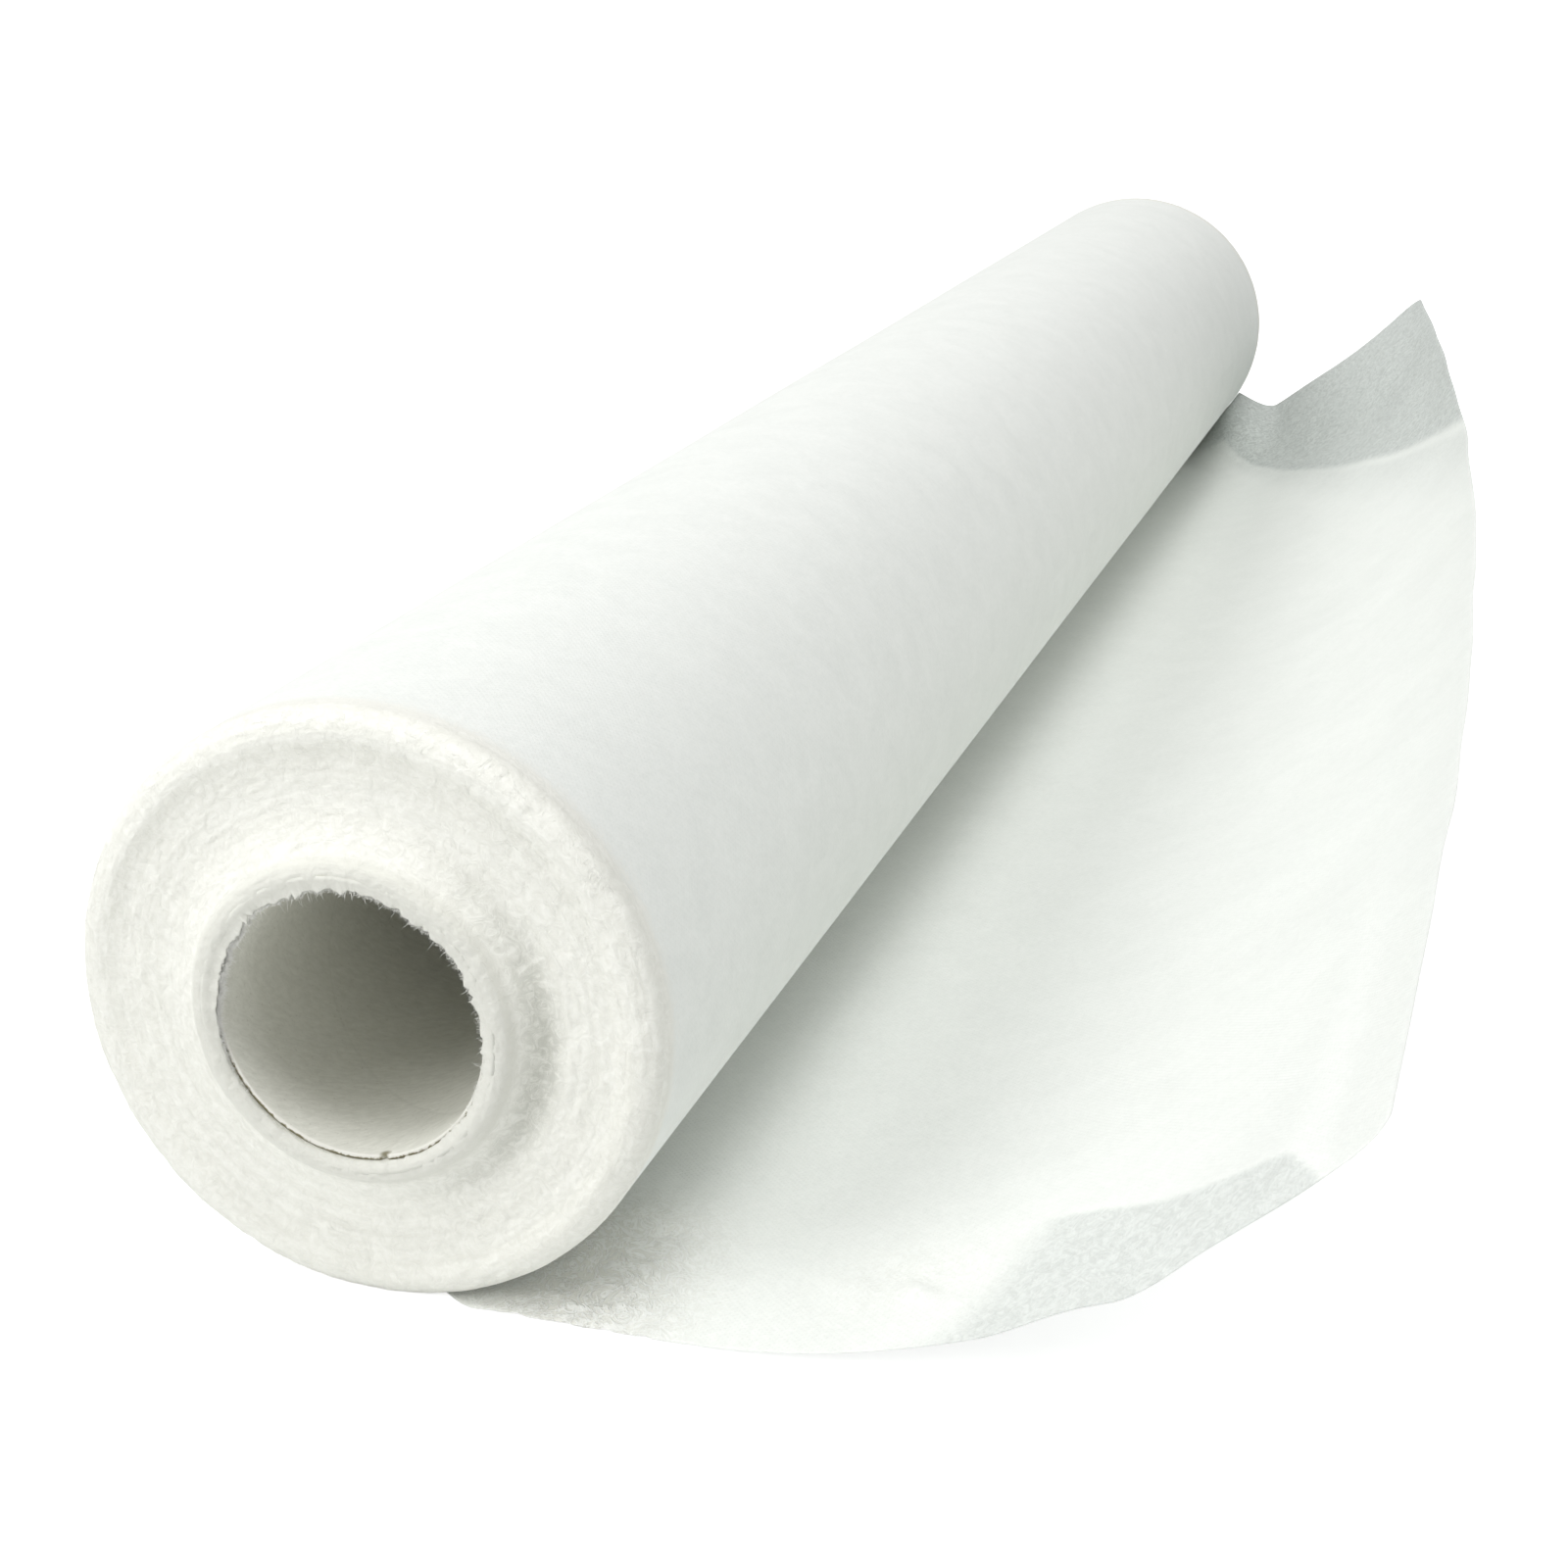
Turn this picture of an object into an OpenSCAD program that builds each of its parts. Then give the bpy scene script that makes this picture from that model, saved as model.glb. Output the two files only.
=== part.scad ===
// Nonwoven table cover roll: one long web of spunbond cloth wound on a paper
// tube, lying on its side with the free end drawn out from under it.
// The roll's axis runs along Y and the free end runs out towards +X.
// The origin is on the axis of the tube's bore, halfway along the web's width.
// The turns have slid a little along the tube, so the inner ones stand proud
// of the near end (-Y) and lie as much below the far end.

/* [Web] */
// Width of the web, which is the length of the roll
web_w = 1200; // [600:10:1800]
// Diameter over the outermost turn
roll_d = 170; // [150:1:260]
// Thickness of the cloth
web_t = 0.45; // [0.3:0.05:1.5]

/* [Core] */
// Bore of the paper tube
core_bore = 76; // [40:1:80]
// Wall of the paper tube
core_wall = 1.5; // [1:0.1:4]
// Gap between the tube and the innermost turn
core_gap = 0.1; // [0.05:0.05:0.5]
// How far the tube's near end lies inside the innermost turns
core_inset = 2.5; // [0:0.5:5]

/* [Wound ends] */
// How far the innermost turns stand out past the outer ones
stand_out = 8.5; // [2:0.5:25]
// Radial thickness of the collar that the innermost turns make
collar_w = 6.5; // [4:0.5:9]
// Soft rounding of the collar's outer edge, along the radius
collar_round = 4; // [1:0.5:4]
// Soft rounding of the collar's outer edge, along the axis
collar_sink = 3; // [0.5:0.5:4]
// Drop from that edge to the turns around it
collar_drop = 2.5; // [1:0.5:8]
// Soft rounding of the collar's inner lip
lip_round = 2.5; // [1:0.5:3.5]
// Radial width of the sloping turns around the collar
cone_w = 17; // [8:1:18]
// Radial width of the low turns between the slope and the rim
valley_w = 5.5; // [2:0.5:8]
// Depth of those low turns below the rim
valley_depth = 1.6; // [0.5:0.1:3]
// Soft rounding of the rim, along the radius
rim_round = 8; // [3:0.5:12]
// Soft rounding of the rim, along the axis
rim_drop = 6; // [2:0.5:10]
// Radial width of one bundle of turns, which shows as one ring
bundle_w = 2.5; // [1.5:0.1:5]
// How far the edge of a bundle bulges out past the line beside it
bundle_bulge = 0.5; // [0.1:0.05:1]

/* [Rest] */
// Width of the flat spot that the soft roll makes on the table
flat_w = 31; // [24:1:40]

/* [Free end] */
// Length of the free end past the middle of the flat spot, at the near edge
free_len = 295; // [200:5:400]
// The same length at the far edge, as the cut is not square
free_len_far = 238; // [190:1:400]
// Length of it that lies flat, at the near edge
lay_len = 79; // [50:1:100]
// Length of it that lies flat, at the far edge
lay_len_far = 40; // [35:1:100]
// Angle that the rest has curled up through, at the near edge
curl_near = 51; // [20:1:80]
// Angle that the rest has curled up through, at the far edge
curl_far = 74; // [40:1:100]
// Distance from the near edge at which the curl starts to tighten
curl_start = 240; // [100:10:550]
// Width of the strip at the far edge that folds up
far_strip = 85; // [40:5:120]
// Height that the far edge folds up by
far_lift = 22; // [5:1:40]
// Height of the slack that the far edge leaves against the roll's side
far_slack = 30; // [0:1:40]
// Radius of the free end's near corner
near_corner = 22; // [5:1:60]
// Radius of its far corner
far_corner = 12; // [5:1:60]
// Width of the strip at the near edge, outside the crease
near_strip = 38; // [20:1:60]
// Height of that crease over the lie of the cloth
near_crease = 5; // [1:0.5:8]
// Length over which the crease dies out again, away from the near edge
crease_fade = 120; // [60:5:200]

/* [Hidden] */
$fn = 96;

roll_r = roll_d / 2;
half_w = web_w / 2;
bore_r = core_bore / 2;
tube_r = bore_r + core_wall;
wind_r = tube_r + core_gap;
collar_r = wind_r + collar_w;
// The collar's outer side is not quite upright
collar_step = 1;
cone_top_r = collar_r + collar_step;
cone_top = stand_out - collar_sink - collar_drop;
cone_foot_r = cone_top_r + cone_w;
valley_r = cone_foot_r + valley_w;
// Height of the rim's crest over the web's own edge, and how early the turns
// have risen to it
rim_crest = 1;
crest_onset = 1.8;

// Height of the table, with half of the outermost turn under the flat cut
flat_z = -sqrt(roll_r * roll_r - flat_w * flat_w / 4);
table_z = flat_z - web_t / 2;
// The free end is joined on under the flat spot, a little inside its edge
tuck = flat_w / 2 - 1.5;

// Points across one bundle of turns
bundle_steps = 4;
bundles = round((roll_r - wind_r) / bundle_w);
ring_steps = bundles * bundle_steps;

// Rows of the free end along its curl, and columns across the web, which lie
// closer together towards both edges
curl_rows = 15;
web_cols = 40;
edge_crowding = 0.8;

// Smooth step from 0 to 1 as t goes from 0 to 1
function ease(t) = let(c = min(1, max(0, t))) c * c * (3 - 2 * c);

// Straight line from a to b as t goes from 0 to 1
function mix(a, b, t) = a + (b - a) * t;

// Drop from 0 to 1 that starts steep and levels out, as t goes from 0 to 1
function settle(t) = t * (2 - t);

// Drop from 0 to 1 that starts level and ends steep, a quarter of a circle
function round_off(t) = let(c = min(1, max(0, t))) 1 - sqrt(1 - c * c);

// How far the turn at radius r has slid towards the near end
function slide(r) =
    r <= collar_r
        ? stand_out - collar_sink * round_off((r - collar_r + collar_round) / collar_round)
    : r <= cone_top_r ? cone_top + collar_drop * (cone_top_r - r) / collar_step
    : r <= cone_foot_r ? mix(cone_top, -valley_depth, settle((r - cone_top_r) / cone_w))
    : r <= valley_r ? -valley_depth
    : mix(-valley_depth, rim_crest, ease((r - valley_r) / (roll_r - valley_r) * crest_onset));

// How far the soft rim has drawn back at radius r
function draw_back(r) = rim_drop * round_off((r - roll_r + rim_round) / rim_round);

// How far the collar's inner lip has drawn back at radius r
function lip_back(r) = lip_round * round_off((wind_r + lip_round - r) / lip_round);

// Bulge of the bundle that point k of the end's outline lies on
function bulge(k) = bundle_bulge * (1 - cos(360 * k / bundle_steps)) / 2;

function ring_r(k) = mix(wind_r, roll_r, k / ring_steps);

function near_edge(k) =
    let(r = ring_r(k)) -half_w - slide(r) + draw_back(r) + lip_back(r) - bulge(k);

function far_edge(k) = let(r = ring_r(k)) half_w - slide(r) - draw_back(r) + bulge(k);

// Outline of the wound turns on one side of the axis, as radius and place
// along the axis. It turns about Z, and so is laid over onto Y afterwards.
module wound_turns() {
    outline = concat(
        [for (k = [0:ring_steps]) [ring_r(k), near_edge(k)]],
        [for (k = [ring_steps:-1:0]) [ring_r(k), far_edge(k)]]
    );
    rotate([-90, 0, 0]) rotate_extrude() polygon(outline);
}

// Share of the tighter curl that the free end has at place y, 0 to 1
function far_share(y) =
    let(d = max(0, (y + half_w - curl_start) / (web_w - curl_start))) d * d;

function lay_at(y) = mix(lay_len, lay_len_far, far_share(y));

function arc_at(y) = mix(free_len, free_len_far, far_share(y)) - lay_at(y);

function curl_at(y) = mix(curl_near, curl_far, far_share(y));

// Rise of the fold at the far edge: a soft bend, then a straight slope
fold_bend = 0.3;
function fold(d) =
    d <= 0 ? 0
    : (d < fold_bend ? d * d / (2 * fold_bend) : d - fold_bend / 2) / (1 - fold_bend / 2);

// Bell of height 1 at share slack_at of the curled length
slack_at = 0.16;
slack_reach = 0.2;
function slack(u) = ease(1 - abs(u - slack_at) / slack_reach);

// The fold widens by this many times its width towards the cut edge, where u is 1
far_spread = 2;
function far_rise(u, y) =
    let(strip = far_strip * (1 + far_spread * u * u))
    (far_lift * sin(180 * u) + far_slack * slack(u)) * fold((y - half_w + strip) / strip);

// Crease along the near edge, sharp on its outer side and dying out inwards. It
// has its full height before the cut edge.
crease_onset = 1.4;
function near_rise(u, y) =
    let(d = y + half_w)
    near_crease * ease(crease_onset * u) *
    (d < near_strip ? d / near_strip : exp(-(d - near_strip) / crease_fade));

// Length that a rounded corner of radius r takes off at distance d from the edge
function corner(r, d) = r - sqrt(max(0, r * r - pow(max(0, r - d), 2)));

// Share of the curled length that the rounded corners leave at place y
function cut_share(y) =
    1 - (corner(near_corner, y + half_w) + corner(far_corner, half_w - y)) / arc_at(y);

// Place of the cloth's underside at share k of the curled length there, and
// place y across the web, raised by lift along the normal
function cloth(k, y, lift) =
    let(
        u = k * cut_share(y),
        turned = curl_at(y) * u,
        curl_r = arc_at(y) / (curl_at(y) * PI / 180),
        rise = near_rise(u, y) + far_rise(u, y),
        out = rise + lift
    )
    [
        lay_at(y) + curl_r * sin(turned) - out * sin(turned),
        y - far_rise(u, y) * far_rise(u, y) / (2 * far_strip),
        table_z + curl_r * (1 - cos(turned)) + out * cos(turned)
    ];

// Place of column j across the web
function column(j) =
    let(t = j / web_cols)
    mix(-half_w, half_w, t - edge_crowding * sin(360 * t) / (2 * PI));

// Row 0 is the joint under the flat spot, row 1 is where the curl starts
function cloth_row(i, y, lift) =
    i == 0 ? [-tuck, y, table_z + lift] : cloth((i - 1) / curl_rows, y, lift);

// The free end: two faces of a grid of points, a cloth's thickness apart
module free_end() {
    rows = curl_rows + 2;
    cols = web_cols + 1;
    one_face = rows * cols;
    place = [for (j = [0:web_cols]) column(j)];
    points = [
        for (lift = [0, web_t]) for (i = [0:rows - 1]) for (y = place) cloth_row(i, y, lift)
    ];
    grid = [for (i = [0:rows - 2]) for (j = [0:cols - 2]) i * cols + j];
    under = [
        for (a = grid) each [[a, a + cols, a + 1], [a + 1, a + cols, a + cols + 1]]
    ];
    over = [for (f = under) [f[2] + one_face, f[1] + one_face, f[0] + one_face]];
    rim = concat(
        [for (j = [0:cols - 2]) [j, j + 1]],
        [for (i = [0:rows - 2]) [(i + 1) * cols, i * cols]],
        [for (j = [0:cols - 2]) [(rows - 1) * cols + j + 1, (rows - 1) * cols + j]],
        [for (i = [0:rows - 2]) [(i + 1) * cols - 1, (i + 2) * cols - 1]]
    );
    edges = [
        for (e = rim) each [
            [e[0], e[1], e[1] + one_face],
            [e[0], e[1] + one_face, e[0] + one_face]
        ]
    ];
    polyhedron(points, concat(under, over, edges), convexity = 6);
}

// The whole web is one piece: the turns, the flat spot and the free end
module nonwoven_web() {
    color([0.94, 0.95, 0.94]) union() {
        difference() {
            wound_turns();
            translate([-roll_r, -web_w, flat_z - roll_r])
                cube([roll_d, 2 * web_w, roll_r]);
        }
        free_end();
    }
}

// The paper tube is as long as the web is wide, and slid along with its turns
module core_tube() {
    near_y = -half_w - stand_out + core_inset;
    color([0.62, 0.6, 0.55]) translate([0, near_y, 0]) rotate([-90, 0, 0])
        difference() {
            cylinder(h = web_w, r = tube_r);
            translate([0, 0, -1]) cylinder(h = web_w + 2, r = bore_r);
        }
}

nonwoven_web();
core_tube();
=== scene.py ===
import math

import bpy
import numpy as np
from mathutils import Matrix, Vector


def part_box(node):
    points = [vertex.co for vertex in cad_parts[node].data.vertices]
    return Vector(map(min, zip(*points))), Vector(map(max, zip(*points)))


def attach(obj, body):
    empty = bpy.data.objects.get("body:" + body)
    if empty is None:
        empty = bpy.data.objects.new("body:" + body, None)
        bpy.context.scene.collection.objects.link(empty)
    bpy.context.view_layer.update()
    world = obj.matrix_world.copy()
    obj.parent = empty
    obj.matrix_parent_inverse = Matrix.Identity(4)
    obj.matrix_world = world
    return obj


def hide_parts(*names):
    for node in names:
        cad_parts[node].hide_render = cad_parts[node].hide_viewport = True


# Nonwoven table cover roll. Metres throughout. The roll's axis runs along Y,
# its near end is at -Y, and the free end runs out from under it towards +X.

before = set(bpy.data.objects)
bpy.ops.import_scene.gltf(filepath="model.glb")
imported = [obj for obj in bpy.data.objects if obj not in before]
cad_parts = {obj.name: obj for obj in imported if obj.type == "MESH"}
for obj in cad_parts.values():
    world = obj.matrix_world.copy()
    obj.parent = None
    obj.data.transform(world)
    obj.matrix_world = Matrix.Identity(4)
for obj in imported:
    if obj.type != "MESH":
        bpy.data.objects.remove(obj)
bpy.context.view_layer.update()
web_low, web_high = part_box("nonwoven_web")
core_low, core_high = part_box("core_tube")

# Sizes that the frame gives
ROLL_R = web_high[2]
TABLE_Z = web_low[2]
TUBE_R = core_high[0]
WEB_W = core_high[1] - core_low[1]
HALF_W = WEB_W / 2
CORE_NEAR = core_low[1]
CORE_FAR = core_high[1]

# The cloth and the tube
WEB_T = 0.00045
# One layer of it as it is seen at its edge, where it is pressed thin
SHEET_T = 0.00018
CORE_WALL = 0.0015
CORE_GAP = 0.0001
BORE_R = TUBE_R - CORE_WALL
WIND_R = TUBE_R + CORE_GAP

# The wound ends, from the collar out to the rim
STAND_OUT = 0.0085
COLLAR_R = WIND_R + 0.0065
COLLAR_ROUND = 0.004
COLLAR_SINK = 0.003
COLLAR_DROP = 0.0012
COLLAR_STEP = 0.001
LIP_ROUND = 0.0025
LIP_FRONT = -HALF_W - STAND_OUT
CONE_TOP_R = COLLAR_R + COLLAR_STEP
CONE_TOP = STAND_OUT - COLLAR_SINK - COLLAR_DROP
CONE_W = 0.017
VALLEY_R = CONE_TOP_R + CONE_W + 0.0055
VALLEY_DEPTH = 0.0013
RIM_CREST = 0.0005
CREST_ONSET = 1.5
RIM_ROUND = 0.008
RIM_DROP = 0.006
FLAT_HALF = 0.0155
FLAT_Z = -math.sqrt(ROLL_R ** 2 - FLAT_HALF ** 2)
TUCK = FLAT_HALF - 0.0015

# The free end
FREE_LEN = 0.295
FREE_LEN_FAR = 0.238
LAY_LEN = 0.079
LAY_LEN_FAR = 0.040
CURL_NEAR = math.radians(51)
CURL_FAR = math.radians(74)
CURL_START = 0.240
FAR_STRIP = 0.085
FAR_SPREAD = 2
FAR_LIFT = 0.022
FAR_SLACK = 0.030
SLACK_AT = 0.16
SLACK_REACH = 0.2
FOLD_BEND = 0.3
NEAR_CREASE = 0.005
CREASE_ONSET = 1.4
CREASE_FADE = 0.120
NEAR_CORNER = 0.011
FAR_CORNER = 0.018
# The near crease runs askew: its distance from the edge at two lengths
CREASE_FROM = (0.160, 0.060)
CREASE_TO = (0.262, 0.020)
# The far strip of painted shade widens from a distance at one length by a slope
SHADE_STRIP_FROM = (0.074, 0.050)
SHADE_STRIP_SLOPE = 1.62
# The near edge is drawn in under the roll up to this length
CURL_IN_AT = 0.030
TUCK_IN = 0.010
# Waves of the free near edge: the length at which each stands, its half width
# and how far it goes inwards
EDGE_WAVES = ((0.192, 0.022, 0.0032), (0.218, 0.020, -0.0036), (0.246, 0.022, 0.0010),
              (0.120, 0.050, -0.0010))

# Camera of the photograph, fitted to the roll's outline, in the part's frame
CAMERA_AT = (0.29138, -1.16008, 0.28237)
CAMERA_YAW = math.radians(17.198)
CAMERA_DOWN = math.radians(19.279)
CAMERA_LENS = 58.80


# Helpers for meshes

def ease(t):
    """Smooth step from 0 to 1 as t goes from 0 to 1."""
    t = np.clip(t, 0.0, 1.0)
    return t * t * (3.0 - 2.0 * t)


def mix(a, b, t):
    """Straight line from a to b as t goes from 0 to 1."""
    return a + (b - a) * t


def bump(t, middle, half):
    """A bell of height 1 at middle that falls to nothing half away from it."""
    return ease(1.0 - np.abs(t - middle) / half)


def ripples(points, seed, count, short, long):
    """Sum of count cosine waves with lengths from short to long, in random
    directions through the points' own space, scaled to an average swing of 1."""
    rng = np.random.default_rng(seed)
    ways = rng.normal(size=(count, points.shape[-1]))
    ways /= np.linalg.norm(ways, axis=1, keepdims=True)
    lengths = short * (long / short) ** rng.random(count)
    phases = rng.random(count) * 2 * math.pi
    total = np.zeros(points.shape[:-1])
    for way, length, phase in zip(ways, lengths, phases):
        total += length ** 0.5 * np.cos(points @ way * (2 * math.pi / length) + phase)
    return total / math.sqrt(lengths.sum() / 2)


def ridges(points, seed, count, short, long):
    """Sharp crests where the ripples cross nothing: 1 on a crest, falling away."""
    return np.exp(-2.2 * np.abs(ripples(points, seed, count, short, long)))


def object_from(name, vertices, faces, uv=None, shares=None):
    """A smooth mesh object at the origin from an (n, 3) array of points and an
    (m, k) array of corners, with a UV for each corner and named shares, each an
    array with a value for every vertex."""
    mesh = bpy.data.meshes.new(name)
    count, sides = faces.shape
    mesh.vertices.add(len(vertices))
    mesh.vertices.foreach_set("co", vertices.astype(np.float32).ravel())
    mesh.loops.add(count * sides)
    mesh.loops.foreach_set("vertex_index", faces.astype(np.int32).ravel())
    mesh.polygons.add(count)
    mesh.polygons.foreach_set("loop_start", np.arange(0, count * sides, sides, dtype=np.int32))
    mesh.polygons.foreach_set("use_smooth", np.ones(count, dtype=bool))
    mesh.update(calc_edges=True)
    if uv is not None:
        layer = mesh.uv_layers.new(name="cloth")
        layer.uv.foreach_set("vector", uv.astype(np.float32).ravel())
    for key, values in (shares or {}).items():
        layer = mesh.attributes.new(key, "FLOAT", "POINT")
        layer.data.foreach_set("value", values.astype(np.float32).ravel())
    mesh.validate()
    piece = bpy.data.objects.new(name, mesh)
    bpy.context.scene.collection.objects.link(piece)
    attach(piece, "root")
    return piece


def surface(name, points, plane, closed=(False, False), flip=False, shares=None):
    """A quad mesh over a grid of points, rows by columns by 3. plane holds each
    grid point's UV, with one row or column more on a side that is closed."""
    rows, cols = points.shape[:2]
    i = np.arange(rows if closed[0] else rows - 1)[:, None]
    j = np.arange(cols if closed[1] else cols - 1)[None, :]
    corners = [(i, j), (i, j + 1), (i + 1, j + 1), (i + 1, j)]
    if flip:
        corners.reverse()
    faces = np.stack([(a % rows) * cols + b % cols for a, b in corners], -1).reshape(-1, 4)
    wide = plane.shape[1]
    flat = plane.reshape(-1, 2)
    uv = np.stack([flat[a * wide + b] for a, b in corners], -2).reshape(-1, 2)
    return object_from(name, points.reshape(-1, 3), faces, uv, shares)


# The wound turns

def settle(t):
    """Drop from 0 to 1 that starts steep and levels out, as t goes from 0 to 1."""
    t = np.clip(t, 0.0, 1.0)
    return t * (2.0 - t)


def round_off(t):
    """Drop from 0 to 1 that starts level and ends steep, a quarter of a circle."""
    t = np.clip(t, 0.0, 1.0)
    return 1.0 - np.sqrt(1.0 - t * t)


def slide(r):
    """How far the turn at radius r has slid towards the near end: a collar with a
    rounded edge, a step down, a settling slope, a valley, and the rim's crest."""
    collar = STAND_OUT - COLLAR_SINK * round_off((r - COLLAR_R + COLLAR_ROUND) / COLLAR_ROUND)
    wall = CONE_TOP + COLLAR_DROP * (CONE_TOP_R - r) / COLLAR_STEP
    cone = mix(CONE_TOP, -VALLEY_DEPTH, settle((r - CONE_TOP_R) / CONE_W))
    rim = mix(-VALLEY_DEPTH, RIM_CREST, ease((r - VALLEY_R) / (ROLL_R - VALLEY_R) * CREST_ONSET))
    return np.select([r <= COLLAR_R, r <= CONE_TOP_R, r <= VALLEY_R], [collar, wall, cone], rim)


def draw_back(r):
    """How far the soft rim has drawn back at radius r."""
    return RIM_DROP * round_off((r - ROLL_R + RIM_ROUND) / RIM_ROUND)


def lip_back(r):
    """How far the collar's inner lip has drawn back at radius r."""
    return LIP_ROUND * round_off((WIND_R + LIP_ROUND - r) / LIP_ROUND)


def near_face(r):
    """Place along the axis of the near end's smooth form at radius r."""
    return -HALF_W - slide(r) + draw_back(r) + lip_back(r)


def near_angle(angle, middle, reach):
    """A bell of height 1 at the angle middle that falls to nothing reach away
    from it, wrapping round. Middle and reach are in degrees."""
    off = np.angle(np.exp(1j * (angle - math.radians(middle))))
    return bump(off, 0, math.radians(reach))


def jagged(angle, seed, teeth):
    """A torn line round the axis: straight runs between random heights, 0 to 1."""
    rng = np.random.default_rng(seed)
    knots = (np.arange(teeth) + 0.7 * rng.random(teeth)) * 2 * math.pi / teeth
    heights = rng.random(teeth) ** 1.4
    return np.interp(angle, knots, heights, period=2 * math.pi)


TUFT_R = ROLL_R - 0.008
TUFT_HALF = 0.009
# Heights of the relief of a wound end
STEP_RELIEF = 0.00016
LUMP_RELIEF = 0.00012
FUZZ_RELIEF = 0.00009
TUFT_RELIEF = 0.0005
BUNDLES = 60
# The turns beside the collar have sunk on the right of the near end
GROOVE_R = COLLAR_R + 0.0062
GROOVE_HALF = 0.0080
GROOVE_DEPTH = 0.0026


def groove_and_shade_share(r, angle):
    """Share of the groove beside the collar, deepest on the right, and of its painted shade."""
    return near_angle(angle, -8, 85) * bump(r, GROOVE_R, GROOVE_HALF)


def end_relief(r, angle, seed):
    """Relief of a wound end past its smooth form: bundles of turns a little out of
    line with one another, soft lumps and fuzz of fluff, and tufts on the rim."""
    rng = np.random.default_rng(seed)
    heights = np.convolve(rng.normal(size=BUNDLES + 4), np.ones(3) / 3, "same")[2:-2]
    way = np.stack([np.cos(angle), np.sin(angle)], -1)
    swirl = r + 0.0006 * ripples(way, seed + 3, 6, 0.8, 3.0)
    steps = np.interp(swirl, np.linspace(WIND_R, ROLL_R, BUNDLES), heights)
    ring = np.stack([np.cos(angle) * r, np.sin(angle) * r], -1)
    lumps = ripples(ring, seed + 1, 18, 0.007, 0.030)
    fuzz = ripples(ring, seed + 2, 24, 0.0012, 0.006)
    tufts = ridges(ring, seed + 4, 9, 0.004, 0.012) * near_angle(angle, 38, 50)
    tufts = tufts * bump(r, TUFT_R, TUFT_HALF)
    return STEP_RELIEF * steps + LUMP_RELIEF * lumps + FUZZ_RELIEF * fuzz + TUFT_RELIEF * tufts


TURN_COLS = 360
# How far the fluffed cut edges spread over the side
RIM_SPREAD = 0.010


def wound_turns():
    """The turns as one closed surface. An outline of radius and place along Y,
    from the tube's mouth over the near end, the side and the far end and back
    along the tube, is carried round the axis; its underside is pressed flat."""
    near_r = np.linspace(WIND_R, ROLL_R, 140)
    side_y = np.linspace(-1, 1, 45)[1:-1]
    side_y = np.concatenate([[-0.999, -0.995, -0.988, -0.978], side_y, [0.978, 0.995]])
    far_r = np.linspace(ROLL_R, WIND_R, 44)
    angle = np.linspace(0, 2 * math.pi, TURN_COLS, endpoint=False)[None, :]
    r = near_r[:, None] + 0 * angle
    r_far = far_r[:, None] + 0 * angle
    near_y = near_face(r) - end_relief(r, angle, 11) + GROOVE_DEPTH * groove_and_shade_share(r, angle)
    far_y = HALF_W - slide(r_far) - draw_back(r_far) + end_relief(r_far, angle, 17)

    across = side_y[:, None]
    side = mix(near_y[-1][None, :], far_y[0][None, :], (across + 1) / 2)
    drum = np.stack(np.broadcast_arrays(np.cos(angle) * ROLL_R, np.sin(angle) * ROLL_R,
                                        0.3 * HALF_W * across), -1)
    sway = ripples(drum, 13, 14, 0.05, 0.2) * bump(across, 0, 1.05)
    side_r = ROLL_R - 0.0001 + 0.0001 * sway
    inner_y = np.linspace(far_y[-1].mean(), CORE_NEAR + 0.003, 6)[1:, None] + 0 * angle

    radii = np.concatenate([r, side_r, r_far, 0 * inner_y + WIND_R])
    places = np.concatenate([near_y, side, far_y, inner_y])
    z = np.maximum(radii * np.sin(angle), FLAT_Z)
    points = np.stack([radii * np.cos(angle), places, z], -1)

    # Length along the outline, so that a pattern follows the cloth's faces
    along = np.concatenate([
        -HALF_W - (ROLL_R - near_r), side_y * HALF_W, HALF_W + (ROLL_R - far_r),
        HALF_W + ROLL_R - WIND_R + np.arange(1, 7) * 0.01])
    u = np.linspace(0, 2 * math.pi, TURN_COLS + 1) * ROLL_R
    plane = np.stack(np.broadcast_arrays(u[None, :], along[:, None]), -1)
    inward = HALF_W - RIM_DROP - np.abs(places)
    collar = ease((CONE_TOP_R + 0.001 - radii) / 0.002) * (places < 0)
    # Painted shade: the share of the groove whose colour is darkened
    groove_shade = groove_and_shade_share(radii, angle) * (places < 0) * (1 - collar)
    return surface("wound_turns", points, plane, (True, True), True,
                   {"end_share": 1 - ease(inward / RIM_SPREAD), "collar_share": collar,
                    "groove_and_shade_share": groove_shade})


# The frayed lip of the collar

LIP_COLS = 1440
# Section of the lip, as a radius past the innermost turn, a share of the reach
# taken off it, and a depth behind the collar's front
LIP_SECTION = np.array([
    (0.0030, 0.0, 0.0001), (0.0020, 0.0, -0.0001), (0.0011, 0.0, 0.0003),
    (0.0004, 0.1, 0.0008), (0.0, 0.4, 0.0012), (0.0, 0.75, 0.0015), (0.0, 1.0, 0.0018),
    (0.0, 0.7, 0.0020), (0.0, 0.25, 0.0023), (0.0004, 0.0, 0.0025),
    (0.0015, 0.0, 0.0018), (0.0028, 0.0, 0.0008)])


def lip_reach(angle):
    """How far the frayed lip hangs in over the tube's mouth: torn teeth on a slow
    swell, most of it over the top and hardly any at the lower left."""
    swell = 0.0007 + 0.0010 * near_angle(angle, 40, 95) + 0.0016 * near_angle(angle, 125, 50)
    swell += 0.0013 * near_angle(angle, 165, 40)
    swell *= 1 - 0.97 * near_angle(angle, 242, 70)
    teeth = 0.55 * jagged(angle, 41, 190) + 0.45 * jagged(angle, 42, 62)
    teeth = mix(teeth, 0.5, 0.7 * near_angle(angle, 172, 50))
    return swell * (0.15 + 1.7 * teeth)


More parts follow.
